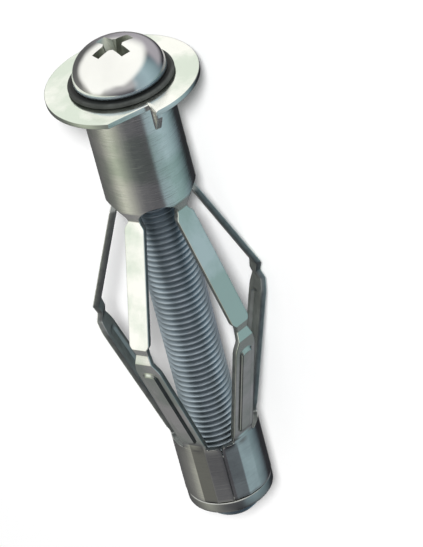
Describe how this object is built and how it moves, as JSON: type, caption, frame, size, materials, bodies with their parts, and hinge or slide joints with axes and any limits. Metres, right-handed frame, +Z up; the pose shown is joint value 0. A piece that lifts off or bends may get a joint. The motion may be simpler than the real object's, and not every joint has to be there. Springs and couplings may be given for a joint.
{
  "type": "hollow wall anchor",
  "caption": "Metal hollow wall anchor, partly drawn up: flanged sleeve with bowed legs, cap nut at its far end, dark washer and a cross-recessed pan head screw through it.",
  "frame": {"origin": "On the anchor's axis, in the plane of the flange's underside, which lies on the wall.", "axes": "+X runs along the axis from the flange into the wall, towards the nut. +Z points up, along one of the five legs. The anchor lies on its side, on the flange rim and the two lower elbows."},
  "size_m": [0.0602, 0.0186, 0.0176],
  "materials": {
    "zinc_sheet": "zinc plated, satin",
    "zinc_nut": "zinc plated, turned",
    "bright_screw": "zinc plated, bright",
    "dark_washer": "dark, matte"
  },
  "bodies": {
    "anchor": {"sleeve": "zinc_sheet", "cap_nut": "zinc_nut"},
    "washer_ring": {"washer": "dark_washer"},
    "driven_screw": {"screw": "bright_screw"}
  },
  "joints": [
    {"name": "screw_travel", "type": "slide", "parent": "anchor", "child": "washer_ring", "axis": [-1, 0, 0], "range_m": [0, 0.0084]},
    {"name": "screw_turn", "type": "hinge", "parent": "washer_ring", "child": "driven_screw", "pos_m": [0, 0, 0], "axis": [-1, 0, 0], "range_deg": [0, 4320]}
  ],
  "couplings": [
    {"joint": "screw_turn", "follows": "screw_travel", "rad_per_m": 8976}
  ]
}
